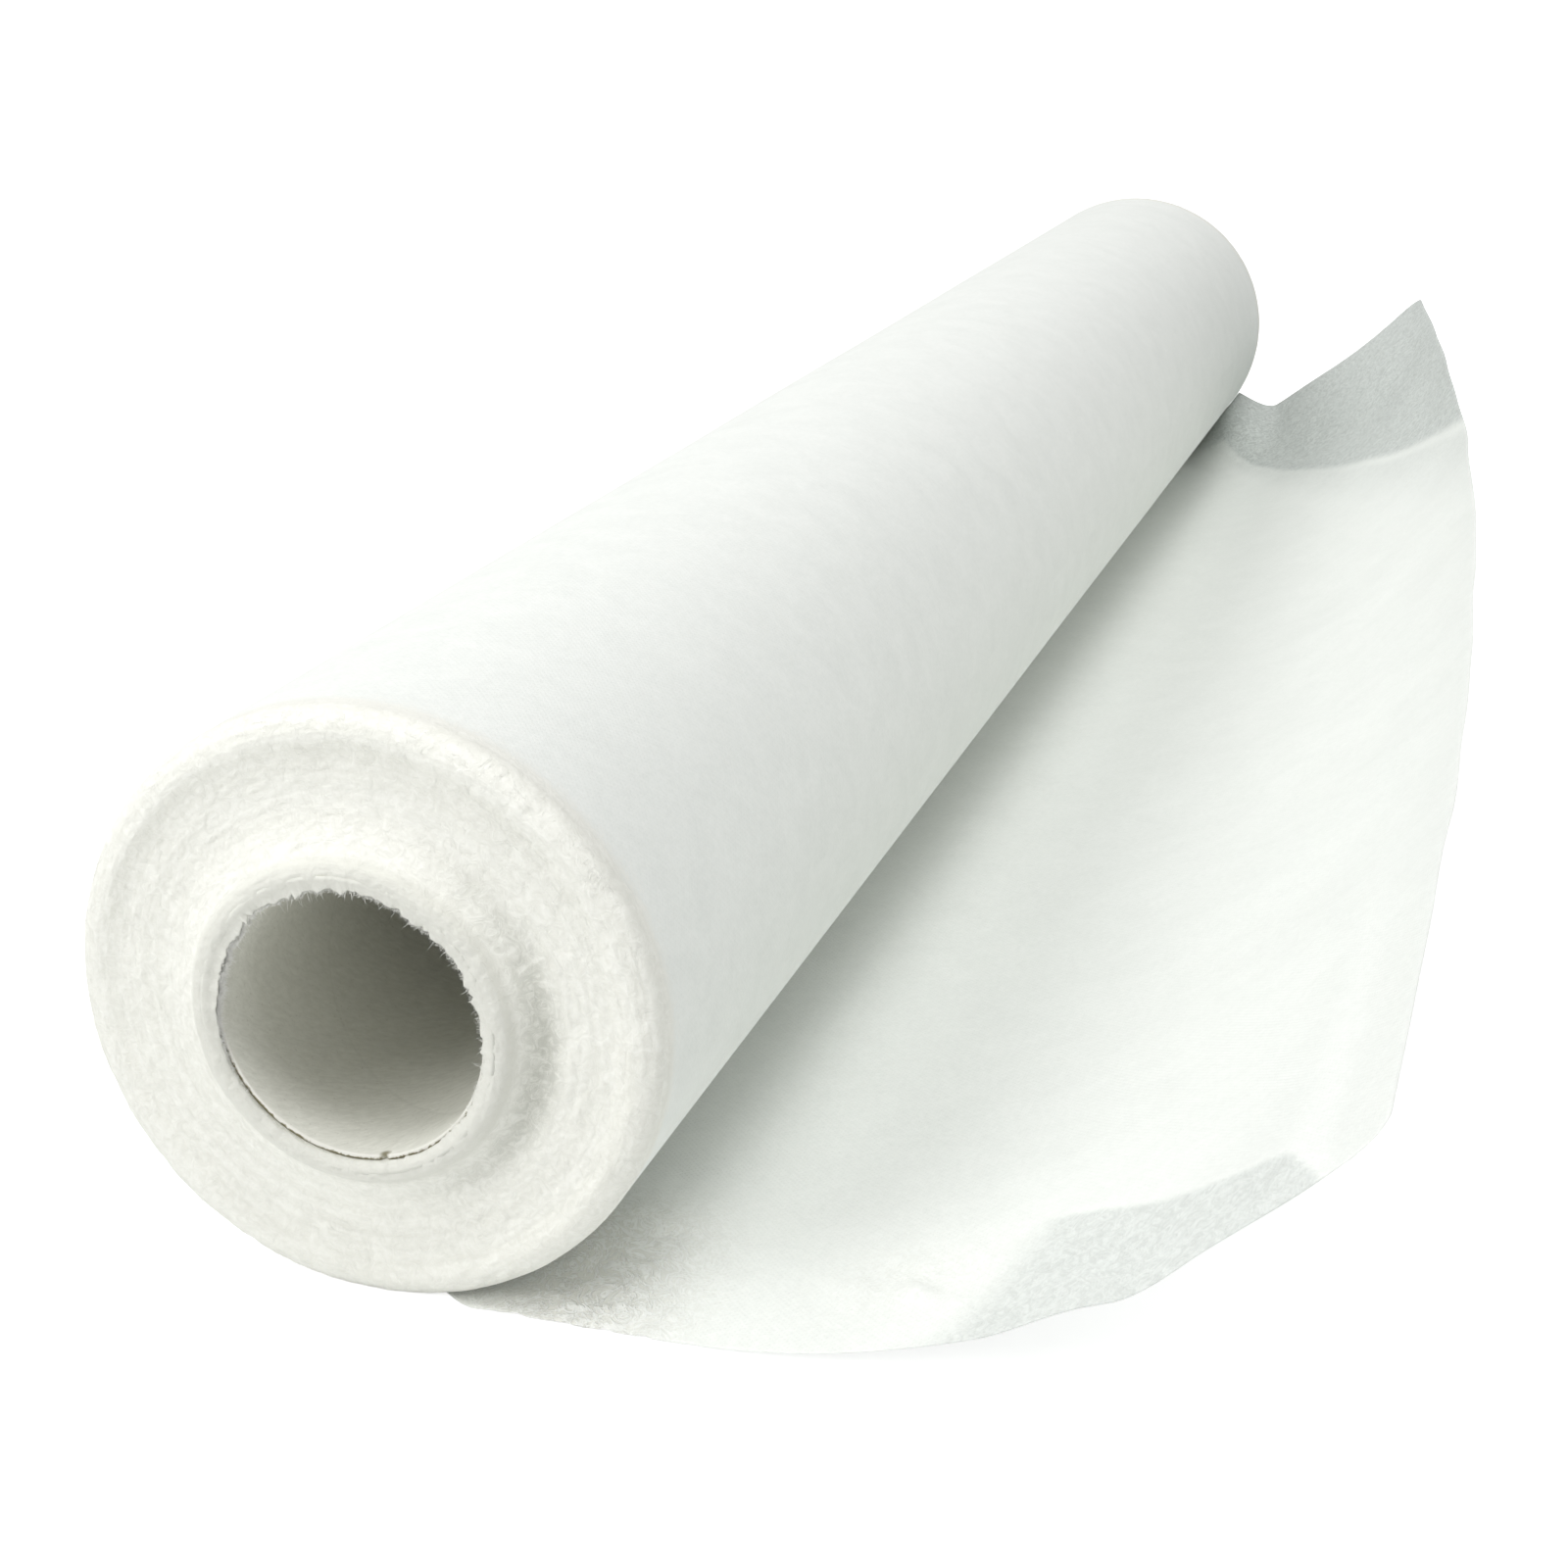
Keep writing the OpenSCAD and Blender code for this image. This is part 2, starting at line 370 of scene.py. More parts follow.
def frayed_lip():
    """The innermost turns' torn edge: a flattened ring over the collar's rounded
    inner side, whose thin inner edge reaches in over the mouth in teeth."""
    angle = np.linspace(0, 2 * math.pi, LIP_COLS, endpoint=False)[None, :]
    reach = lip_reach(angle)
    past, share, depth = LIP_SECTION.T[:, :, None]
    ring = np.stack([np.cos(angle), np.sin(angle)], -1) * WIND_R
    loose = ripples(ring, 43, 30, 0.0012, 0.010) * 0.00020
    r = WIND_R + past - share * reach
    y = LIP_FRONT + depth - loose * np.minimum(1, share + 0.4) - 0.5 * share * reach
    points = np.stack([r * np.cos(angle), y, r * np.sin(angle)], -1)
    u = np.linspace(0, 2 * math.pi, LIP_COLS + 1) * WIND_R
    v = np.arange(len(LIP_SECTION) + 1) * 0.0007
    plane = np.stack(np.broadcast_arrays(u[None, :], v[:, None]), -1)
    whole = np.ones(points.shape[:2])
    return surface("frayed_lip", points, plane, (True, True), False,
                   {"end_share": whole, "collar_share": whole, "groove_and_shade_share": 0 * whole})


# The free end

def far_share(y):
    """Share of the tighter curl at place y across the web: a square law."""
    d = np.maximum(0, (y + HALF_W - CURL_START) / (WEB_W - CURL_START))
    return d * d


def fold(d):
    """Rise of a fold over its own width d: a soft bend, then a straight slope."""
    soft = d * d / (2 * FOLD_BEND)
    return np.where(d <= 0, 0, np.where(d < FOLD_BEND, soft, d - FOLD_BEND / 2)) / (1 - FOLD_BEND / 2)


def far_rise(u, y):
    """The fold along the far edge, widest at the cut edge where u is 1, and the
    slack that it leaves against the roll's side."""
    strip = FAR_STRIP * (1 + FAR_SPREAD * u * u)
    slack = FAR_SLACK * bump(u, SLACK_AT, SLACK_REACH)
    return (FAR_LIFT * np.sin(math.pi * u) + slack) * fold((y - HALF_W + strip) / strip)


def crease_at(s):
    """Distance of the near crease from the near edge at length s: a straight
    line askew to the edge, which meets it at the corner."""
    t = (s - CREASE_FROM[0]) / (CREASE_TO[0] - CREASE_FROM[0])
    askew = mix(CREASE_FROM[1], CREASE_TO[1], np.clip(t, 0, 1))
    return np.maximum(askew * (1 - ease((t - 1) * 7)), 0.0005)


def near_rise(s, u, y):
    """The crease along the near edge: sharp outside, dying out inwards."""
    d = y + HALF_W
    strip = crease_at(s)
    high = NEAR_CREASE * ease(CREASE_ONSET * u) * np.minimum(1, strip / 0.020)
    return high * np.where(d < strip, d / strip, np.exp(-(d - strip) / CREASE_FADE))


def corner(r, d):
    """Length that a rounded corner of radius r takes off at distance d."""
    return r - np.sqrt(np.maximum(0, r * r - np.maximum(0, r - d) ** 2))


# Heights of the small forms of the free end
PUFF_RELIEF = 0.0062
CREASE_RELIEF = 0.0016
FINE_RELIEF = 0.0005
DIMPLE_RELIEF = 0.0009
SLACK_RELIEF = 0.0006


def cloth_relief(s, u, y):
    """Small forms of the drawn-out cloth along its normal, from its length s, the
    curled share u and the place y: a puffed crumple where it leaves the roll,
    dimples along the near edge, and slack waves."""
    place = np.stack(np.broadcast_arrays(s, y), -1)
    d = y + HALF_W
    crumple = PUFF_RELIEF * bump(d, 0.048, 0.050)
    crumple = crumple + ridges(place, 61, 12, 0.012, 0.034) * CREASE_RELIEF
    crumple += ridges(place, 62, 14, 0.004, 0.012) * FINE_RELIEF
    crumple *= bump(s, 0.060, 0.046) * ease(1.5 - d / 0.085)
    dimples = np.maximum(0, ripples(place, 63, 10, 0.012, 0.026)) * DIMPLE_RELIEF
    dimples *= bump(s, 0.150, 0.050) * bump(d, 0.036, 0.030)
    slack = ripples(place, 64, 12, 0.07, 0.22) * SLACK_RELIEF * ease(u * 2.2)
    return crumple + dimples + slack


def strip_shade_share(s, u, y):
    """Painted shade on the cloth: the strip outside the near crease, and more
    so the far strip, up to a painted highlight, a pale ridge along its fold."""
    d = y + HALF_W
    near = 0.42 * ease((crease_at(s) - d) / 0.0025) * ease((s - 0.150 - 0.5 * d) / 0.02)
    strip = SHADE_STRIP_FROM[1] + SHADE_STRIP_SLOPE * np.maximum(0, s - SHADE_STRIP_FROM[0])
    inward = (HALF_W - y) / strip
    far = mix(ease((1.03 - inward) / 0.10), 0.45 * ease((1.45 - inward) / 0.45), 0.55)
    far = far * ease((u - 0.03) / 0.12)
    # Painted highlight: a pale line along the far fold
    fold_highlight = bump(inward, 1.0, 0.045) * ease((s - 0.150) / 0.05)
    return np.maximum(near, far * (1 - 0.7 * fold_highlight))


def swirl_share(s, y):
    """Where loose filaments stand off the cloth: by the roll, and the dimples."""
    d = y + HALF_W
    by_roll = bump(s, 0.055, 0.050) * ease(1.3 - d / 0.075)
    by_edge = 0.28 * bump(s, 0.145, 0.045) * bump(d, 0.036, 0.032)
    return np.maximum(by_roll, by_edge)


def cloth_points(s_rows, y_cols):
    """The underside of the free end. Each row is a length s from the middle of
    the flat spot as a share of the whole; past its lay the cloth curls up in an
    arc whose angle and radius change along the roll, and relief lifts it."""
    y = y_cols[None, :]
    share = far_share(y)
    lay = mix(LAY_LEN, LAY_LEN_FAR, share)
    arc = mix(FREE_LEN, FREE_LEN_FAR, share) - lay
    curl = mix(CURL_NEAR, CURL_FAR, share)
    left = 1 - (corner(NEAR_CORNER, y + HALF_W) + corner(FAR_CORNER, HALF_W - y)) / arc
    rows = s_rows[:, None]
    u = np.clip(rows - 1, 0, 1) * left
    s = np.where(rows < 1, mix(-TUCK, lay, rows), lay + arc * u)
    turned = curl * u
    radius = arc / curl
    fold_up = far_rise(u, y)
    out = near_rise(s, u, y) + fold_up + cloth_relief(s, u, y)
    x = np.where(rows < 1, s, lay + radius * np.sin(turned)) - out * np.sin(turned)
    z = TABLE_Z + radius * (1 - np.cos(turned)) + out * np.cos(turned)
    roof = -np.sqrt(np.maximum(ROLL_R ** 2 - x ** 2, 0)) - WEB_T * 1.6
    z = np.where((x < ROLL_R * 0.98) & (z > roof), roof, z)
    z = np.maximum(z, TABLE_Z)
    across = y + 0 * z - fold_up ** 2 / (2 * FAR_STRIP)
    # Under the roll the edge is drawn in a little, and it waves where it is free
    inwards = TUCK_IN * ease((CURL_IN_AT - s) / 0.02)
    for at, half, size in EDGE_WAVES:
        inwards = inwards + size * bump(s, at, half)
    across = across + inwards * ease(1 - (y + HALF_W) / 0.06)
    return np.stack([x, across, z], -1), s + 0 * z, {
        "strip_shade_share": strip_shade_share(s, u, y), "swirl_share": swirl_share(s, y)}


def free_end():
    """The cloth drawn out from under the roll, as one sheet with a thickness."""
    rows = np.concatenate([np.linspace(0, 1, 34)[:-1], 1 + np.linspace(0, 1, 88)])
    t = np.linspace(0, 1, 300)
    cols = -HALF_W + WEB_W * (t - 0.72 * np.sin(2 * math.pi * t) / (2 * math.pi))
    points, s, shares = cloth_points(rows, cols)
    plane = np.stack([s, cols[None, :] + 0 * s], -1)
    piece = surface("free_end", points, plane, flip=True, shares=shares)
    thick = piece.modifiers.new("cloth thickness", "SOLIDIFY")
    thick.thickness = SHEET_T
    thick.offset = 1.0
    # The square law shortens the web by a third of the difference past its start
    return piece


# Loose fibres

def bent(starts, middles, tips, steps=6):
    """Quadratic curves from starts over middles to tips, (n, steps, 3)."""
    t = np.linspace(0, 1, steps)[None, :, None]
    return (1 - t) ** 2 * starts[:, None] + 2 * t * (1 - t) * middles[:, None] + t * t * tips[:, None]


def fibres(name, path, width):
    """Tapered three-sided strands along an (n, steps, 3) array of paths, each
    with its own width and closed at both ends."""
    count, steps = path.shape[:2]
    run = np.gradient(path, axis=1)
    run /= np.linalg.norm(run, axis=2, keepdims=True) + 1e-12
    side = np.cross(run, np.array([0.31, 0.52, 0.79]))
    side /= np.linalg.norm(side, axis=2, keepdims=True) + 1e-12
    over = np.cross(run, side)
    taper = 1 - 0.8 * np.linspace(-1, 1, steps)[None, :, None] ** 4
    half = 0.5 * width[:, None, None] * taper
    spin = np.arange(3) * 2 * math.pi / 3
    rings = [path + half * (math.cos(a) * side + math.sin(a) * over) for a in spin]
    points = np.stack(rings, 2)
    base = (np.arange(count) * steps * 3)[:, None, None]
    i = np.arange(steps - 1)[None, :, None] * 3
    j = np.arange(3)[None, None, :]
    k = (j + 1) % 3
    corners = (base + i + j, base + i + k, base + i + 3 + k, base + i + 3 + j)
    quads = np.stack(np.broadcast_arrays(*corners), -1).reshape(-1, 4)
    tris = np.concatenate([quads[:, [0, 1, 2]], quads[:, [0, 2, 3]]])
    foot = np.arange(count)[:, None] * steps * 3 + np.array([0, 2, 1])
    head = np.arange(count)[:, None] * steps * 3 + (steps - 1) * 3 + np.array([0, 1, 2])
    return object_from(name, points.reshape(-1, 3), np.concatenate([tris, foot, head]))


def around(r, angle, y):
    """A point at radius r, angle and place y along the axis."""
    return np.stack([r * np.cos(angle), y, r * np.sin(angle)], -1)


LIP_FIBRES = 3200
RIM_FIBRES = 1500
FIBRE_AT_LEFT = 0.45
LONG_FIBRES = 0.05
LONG_FIBRE = 0.0036


def lip_fibres():
    """Fluff of the lip: short strands out of its teeth that hang in over the
    bore, almost half of them at the left where they are softest, and one in
    twenty long."""
    rng = np.random.default_rng(71)
    count = LIP_FIBRES
    left = rng.random(count) < FIBRE_AT_LEFT
    angle = np.where(left, math.radians(168), math.radians(95))
    angle = angle + rng.normal(size=count) * np.where(left, 0.35, 1.0)
    reach = lip_reach(angle)
    soft = 0.0009 + 0.0017 * near_angle(angle, 168, 50)
    long = np.where(rng.random(count) < LONG_FIBRES, LONG_FIBRE, soft) * rng.random(count)
    swing = rng.normal(size=count) * 0.02
    roots = around(WIND_R + 0.0003 - 0.8 * reach, angle, LIP_FRONT + 0.0019 + 0 * angle)
    middles = around(WIND_R - reach - 0.5 * long, angle + 0.3 * swing,
                     LIP_FRONT + 0.0013 + 0 * angle)
    tips = around(WIND_R - reach - long, angle + swing, LIP_FRONT + 0.0026 * rng.random(count))
    width = 0.00005 + 0.00008 * rng.random(count)
    return fibres("lip_fibres", bent(roots, middles, tips, 5), width)


def rim_fibres():
    """Strands that lie over the near end and its soft rim, mostly along the
    turns, some drawn out across the rim at the upper right. None reaches below
    the flat spot."""
    rng = np.random.default_rng(73)
    count = RIM_FIBRES
    across = rng.random(count) < 0.25
    angle = np.where(across, math.radians(45) + rng.normal(size=count) * 0.5,
                     rng.random(count) * 2 * math.pi)
    r = ROLL_R - 0.001 - rng.random(count) ** 1.6 * np.where(across, 0.012, 0.038)
    sweep = np.where(across, 0.02, 0.06) * rng.normal(size=count)
    climb = np.where(across, 0.005, 0.0008) * rng.normal(size=count)
    tip_r = np.clip(r + climb, COLLAR_R + 0.0015, ROLL_R - 0.0004)
    middle_r = 0.5 * (r + tip_r)
    roots = around(r, angle, near_face(r) + 0.0001)
    middles = around(middle_r, angle + sweep * 0.5,
                     near_face(middle_r) - 0.0003 - 0.0005 * rng.random(count))
    tips = around(tip_r, angle + sweep, near_face(tip_r) - 0.0002 * rng.random(count))
    path = bent(roots, middles, tips)
    path[..., 2] = np.maximum(path[..., 2], FLAT_Z)
    return fibres("rim_fibres", path, 0.00004 + 0.00006 * rng.random(count))


# The tube

NICK_ANGLE = math.radians(-78)
NICK_DEEP = 0.0012
NICK_AT = (BORE_R * math.cos(NICK_ANGLE), CORE_NEAR + NICK_DEEP,
           BORE_R * math.sin(NICK_ANGLE))


def core_board():
    """The paper tube: a ring section carried along the axis, with a slightly
    ragged saw cut at each end and one nick at the near mouth."""
    angle = np.linspace(0, 2 * math.pi, 240, endpoint=False)[None, :]
    ring = np.stack([np.cos(angle[0]), np.sin(angle[0])], -1) * BORE_R
    ragged = ripples(ring, 81, 22, 0.002, 0.02) * 0.00012
    off = np.angle(np.exp(1j * (angle[0] - NICK_ANGLE)))
    nick = NICK_DEEP * bump(off, 0, 0.035)
    near = CORE_NEAR + np.abs(ragged) + nick
    far = CORE_FAR - np.abs(ragged)
    chamfer = 0.0002
    inner = BORE_R + 0.00004 * ripples(ring, 82, 10, 0.01, 0.05)
    rows = [(inner + 0 * near, near + chamfer), (inner + chamfer, near),
            (TUBE_R - chamfer + 0 * near, near), (TUBE_R + 0 * near, near + chamfer)]
    for t in np.linspace(0, 1, 12)[1:-1]:
        rows.append((TUBE_R + 0 * near, mix(near, far, t)))
    rows += [(TUBE_R + 0 * near, far - chamfer), (TUBE_R - chamfer + 0 * near, far),
             (inner + chamfer, far), (inner + 0 * near, far - chamfer)]
    for t in np.linspace(0, 1, 60)[1:-1]:
        rows.append((inner + 0 * near, mix(far, near, t)))
    r = np.array([row[0] for row in rows])
    y = np.array([row[1] for row in rows])
    points = around(r, angle, y)
    u = np.linspace(0, 2 * math.pi, 241) * BORE_R
    v = np.append(y.mean(1), y.mean(1)[0])
    plane = np.stack(np.broadcast_arrays(u[None, :], v[:, None]), -1)
    return surface("core_board", points, plane, (True, True), True)


# Materials

def put(tree, kind, inputs=None, **settings):
    """A node of that kind, with its settings, and its inputs set or linked."""
    node = tree.nodes.new(kind)
    for key, value in settings.items():
        setattr(node, key, value)
    for key, value in (inputs or {}).items():
        socket = node.inputs[key]
        if isinstance(value, bpy.types.NodeSocket):
            tree.links.new(value, socket)
        else:
            socket.default_value = value
    return node


def calc(tree, operation, *values, clamp=False):
    """The result of a Math node on values that are numbers or sockets."""
    return put(tree, "ShaderNodeMath", dict(enumerate(values)), operation=operation,
               use_clamp=clamp).outputs[0]


def ramp(tree, value, low, high, out_low=0.0, out_high=1.0):
    """value mapped from low..high onto out_low..out_high, and held there."""
    return put(tree, "ShaderNodeMapRange", {
        0: value, 1: low, 2: high, 3: out_low, 4: out_high}).outputs[0]


def blend(tree, share, first, second):
    """A colour between first and second by share."""
    return put(tree, "ShaderNodeMix", {0: share, 6: first, 7: second},
               data_type="RGBA").outputs[2]


def noise(tree, place, scale, detail=3.0, rough=0.55, distortion=0.0):
    """Noise over place, 0 to 1."""
    return put(tree, "ShaderNodeTexNoise", {
        "Vector": place, "Scale": scale, "Detail": detail, "Roughness": rough,
        "Distortion": distortion}).outputs[0]


def centred(tree, value):
    """value less a half, so that it swings about nothing."""
    return calc(tree, "SUBTRACT", value, 0.5)


def share_of(tree, name):
    """The value that each vertex keeps under that name."""
    return put(tree, "ShaderNodeAttribute", attribute_name=name).outputs[2]


def cloth_plane(tree):
    """Place over the cloth laid flat, in metres."""
    return put(tree, "ShaderNodeUVMap", uv_map="cloth").outputs[0]


def seen_plainly(tree):
    """1 for what the camera sees, straight or by a shiny or clear thing."""
    path = put(tree, "ShaderNodeLightPath")
    return calc(tree, "MAXIMUM", path.outputs["Is Camera Ray"],
                calc(tree, "MAXIMUM", path.outputs["Is Glossy Ray"],
                     path.outputs["Is Transmission Ray"]))


def stretched(tree, place, scale, turn=0.0):
    """place scaled along each axis after a turn about Z."""
    turned = put(tree, "ShaderNodeMapping", {"Vector": place, "Rotation": (0, 0, turn)})
    return put(tree, "ShaderNodeMapping", {"Vector": turned.outputs[0], "Scale": scale}).outputs[0]


# Pitch of the lattice of bonded points
BOND_PITCH = 0.0021
# Lays of filaments: the turn of each, a factor on its place and its noise's
# scale. The stretch is the share of that scale kept along the filaments.
FILAMENT_LAYS = ((0.35, 1.0, 900), (1.45, 1.3, 1030), (2.5, 0.8, 1160))
FILAMENT_STRETCH = 0.22


def spunbond_group():
    """Node group for spunbond cloth over a plane in metres: a staggered lattice
    of small bonded points, long filaments laid in every direction and the cloudy
    lay of the web. Puts out a tone, where 1 is dense cloth, and a height."""
    tree = bpy.data.node_groups.new("spunbond", "ShaderNodeTree")
    face = tree.interface
    face.new_socket("Place", in_out="INPUT", socket_type="NodeSocketVector")
    for name in ("Bonds", "Fibres", "Clouds"):
        socket = face.new_socket(name, in_out="INPUT", socket_type="NodeSocketFloat")
        socket.default_value = 1.0
    for name in ("Tone", "Height"):
        face.new_socket(name, in_out="OUTPUT", socket_type="NodeSocketFloat")
    entry = put(tree, "NodeGroupInput")
    place, bonds, strands, clouds = (entry.outputs[k] for k in range(4))

    split = put(tree, "ShaderNodeSeparateXYZ", {0: place})
    waves = []
    for k in (0, 1):
        phase = calc(tree, "MULTIPLY", split.outputs[k], 2 * math.pi)
        waves.append(calc(tree, "COSINE", calc(tree, "DIVIDE", phase, BOND_PITCH)))
    dots = ramp(tree, calc(tree, "MULTIPLY", *waves), 0.35, 0.9)
    dots = calc(tree, "MULTIPLY", dots, bonds)

    lines = None
    for turn, size, scale in FILAMENT_LAYS:
        lay = stretched(tree, place, (size, size * FILAMENT_STRETCH, 1), turn)
        thread = noise(tree, lay, scale, 2.0, 0.6, 1.2)
        off = calc(tree, "ABSOLUTE", centred(tree, thread))
        thin = ramp(tree, off, 0.0, 0.055, 1.0, 0.0)
        lines = thin if lines is None else calc(tree, "MAXIMUM", lines, thin)
    lines = calc(tree, "MULTIPLY", lines, strands)

    cloud = centred(tree, noise(tree, place, 55, 3.0, 0.62, 0.6))
    cloud = calc(tree, "MULTIPLY", cloud, clouds)

    grain = centred(tree, noise(tree, place, 480, 2.0, 0.7, 0.4))
    cloud = calc(tree, "ADD", cloud, calc(tree, "MULTIPLY", grain, 0.9))
    tone = calc(tree, "ADD", 0.55, calc(tree, "MULTIPLY", lines, 0.30))
    tone = calc(tree, "SUBTRACT", tone, calc(tree, "MULTIPLY", dots, 0.30))
    tone = calc(tree, "ADD", tone, cloud, clamp=True)
    height = calc(tree, "SUBTRACT", calc(tree, "MULTIPLY", lines, 0.5), dots)
    height = calc(tree, "ADD", height, calc(tree, "MULTIPLY", cloud, 0.6))
    put(tree, "NodeGroupOutput", {"Tone": tone, "Height": height})
    return tree


def start_material(name):
    """An empty node material and its node tree."""
    material = bpy.data.materials.new(name)
    material.use_nodes = True
    material.node_tree.nodes.clear()
    return material, material.node_tree


def finish_material(tree, colour, height, depth, roughness, sheen=0.0):
    """Principled surface with the colour, a bump of that depth, and its values."""
    inputs = {"Base Color": colour, "Roughness": roughness, "Sheen Weight": sheen,
              "Sheen Roughness": 0.6, "Specular IOR Level": 0.25}
    if height is not None:
        inputs["Normal"] = put(tree, "ShaderNodeBump", {"Height": height, "Distance": depth,
                                                        "Strength": 1.0}).outputs[0]
    shader = put(tree, "ShaderNodeBsdfPrincipled", inputs)
    put(tree, "ShaderNodeOutputMaterial", {"Surface": shader.outputs[0]})


# Tones of the cloth, and its finish
CLOTH_BUMP = 0.00022
CLOTH_ROUGH = 0.92
CLOTH_SHEEN = 0.15
CLOTH_DENSE = (0.945, 0.966, 0.930, 1)
CLOTH_THIN = (0.825, 0.852, 0.815, 1)
LOOSE_BRIGHT = (0.99, 1.0, 0.96, 1)
LOOSE_DEEP = (0.84, 0.84, 0.78, 1)
# Painted shade on the strips along the free end's edges, a dark mottled grey
STRIP_SHADE_DEEP = (0.36, 0.395, 0.375, 1)
STRIP_SHADE_BRIGHT = (0.62, 0.66, 0.64, 1)
END_BRIGHT = (0.940, 0.940, 0.880, 1)
END_DEEP = (0.820, 0.818, 0.750, 1)
COLLAR_TONE = (0.67, 0.67, 0.61, 1)
# Painted shade in the groove beside the collar
GROOVE_SHADE_TONE = (0.55, 0.555, 0.495, 1)
FIBRE_DEEP = (0.88, 0.88, 0.84, 1)
FIBRE_BRIGHT = (0.96, 0.96, 0.93, 1)


def turns_material(group):
    """Cloth of the wound roll: spunbond on the side, and on the ends the cut
    edges of the turns, a warmer white in fine rings with a felted fluff, and
    painted shade in the groove beside the collar."""
    material, tree = start_material("wound_cloth")
    place = cloth_plane(tree)
    share = share_of(tree, "end_share")
    web = put(tree, "ShaderNodeGroup", {"Place": place, "Bonds": 0.7, "Fibres": 0.8,
                                        "Clouds": 0.9}, node_tree=group)
    body = put(tree, "ShaderNodeTexCoord").outputs["Object"]
    rings = noise(tree, stretched(tree, place, (5, 330, 1)), 1.0, 3.0, 0.55)
    fluff = noise(tree, body, 270, 4.0, 0.74, 1.6)
    worn = calc(tree, "ADD", calc(tree, "MULTIPLY", rings, 0.35),
                calc(tree, "MULTIPLY", fluff, 0.65))
    side = blend(tree, web.outputs["Tone"], CLOTH_THIN, CLOTH_DENSE)
    end = blend(tree, ramp(tree, worn, 0.36, 0.60), END_DEEP, END_BRIGHT)
    ragged = calc(tree, "ADD", share, calc(tree, "MULTIPLY", centred(tree, fluff), 1.6))
    collar = calc(tree, "MULTIPLY", share_of(tree, "collar_share"), 0.6)
    end = blend(tree, collar, end, COLLAR_TONE)
    # Painted shade in the groove beside the collar, broken up by the fluff
    fluffy = ramp(tree, fluff, 0.62, 0.38, 0.45, 1.0)
    groove_shade = calc(tree, "MULTIPLY", share_of(tree, "groove_and_shade_share"), fluffy)
    end = blend(tree, groove_shade, end, GROOVE_SHADE_TONE)
    colour = blend(tree, ramp(tree, ragged, 0.15, 0.85), side, end)
    side_height = calc(tree, "MULTIPLY", web.outputs["Height"], 0.25)
    side_height = calc(tree, "MULTIPLY", side_height, calc(tree, "SUBTRACT", 1.0, share))
    end_height = calc(tree, "MULTIPLY", worn, calc(tree, "MULTIPLY", share, 2.8))
    height = calc(tree, "ADD", side_height, end_height)
    finish_material(tree, colour, height, CLOTH_BUMP, CLOTH_ROUGH, CLOTH_SHEEN)
    return material


def sheet_material(group):
    """Cloth of the free end: the same spunbond seen more clearly, with painted
    shade on the strips along its near and far edges, and with curled hair
    where filaments stand off it."""
    material, tree = start_material("drawn_cloth")
    place = cloth_plane(tree)
    web = put(tree, "ShaderNodeGroup", {"Place": place, "Bonds": 0.9, "Fibres": 0.9,
                                        "Clouds": 0.6}, node_tree=group)
    colour = blend(tree, web.outputs["Tone"], CLOTH_THIN, CLOTH_DENSE)
    strands = noise(tree, place, 260, 3.0, 0.68, 1.8)
    # Painted shade: the edge strips turned a mottled grey
    strip_shade = blend(tree, ramp(tree, strands, 0.38, 0.62), STRIP_SHADE_DEEP, STRIP_SHADE_BRIGHT)
    colour = blend(tree, share_of(tree, "strip_shade_share"), colour, strip_shade)
    loose = share_of(tree, "swirl_share")
    curls = noise(tree, place, 130, 2.0, 0.6, 3.5)
    curls = ramp(tree, calc(tree, "ABSOLUTE", centred(tree, curls)), 0.0, 0.09, 1.0, 0.0)
    hair = blend(tree, ramp(tree, curls, 0.1, 0.6), LOOSE_DEEP, LOOSE_BRIGHT)
    colour = blend(tree, loose, colour, hair)
    height = calc(tree, "MULTIPLY", web.outputs["Height"], 0.35)
    hair_height = calc(tree, "MULTIPLY", curls, calc(tree, "MULTIPLY", loose, 1.2))
    height = calc(tree, "ADD", height, hair_height)
    finish_material(tree, colour, height, CLOTH_BUMP, CLOTH_ROUGH, CLOTH_SHEEN)
    return material


def fibre_material():
    """Single loose filaments: clean white, a little brighter than the cloth."""
    material, tree = start_material("loose_fibre")
    body = put(tree, "ShaderNodeTexCoord").outputs["Object"]
    colour = blend(tree, noise(tree, body, 300), FIBRE_DEEP, FIBRE_BRIGHT)
    finish_material(tree, colour, None, 0, 0.8, 0.2)
    return material


# Tones of the tube, the pitch of its inner ply's seam along the axis, how deep
# its cut edge shows, and how far the brown spreads round the nick
BOARD_BUMP = 0.00012
PLY_PITCH = 0.135
CUT_REACH = (0.0006, 0.0010)
NICK_SPREAD = (0.0006, 0.0020)
BOARD_DEEP = (0.69, 0.69, 0.62, 1)
BOARD_BRIGHT = (0.80, 0.80, 0.73, 1)
CUT_PALE = (0.84, 0.83, 0.77, 1)
# Painted shadow: the brown of the gap between the tube's cut end and the lip, also used round the
# nick
CUT_SHADOW_BROWN = (0.22, 0.20, 0.12, 1)
FLECK_TONE = (0.30, 0.27, 0.20, 1)
SEAM_TONE = (0.30, 0.29, 0.24, 1)


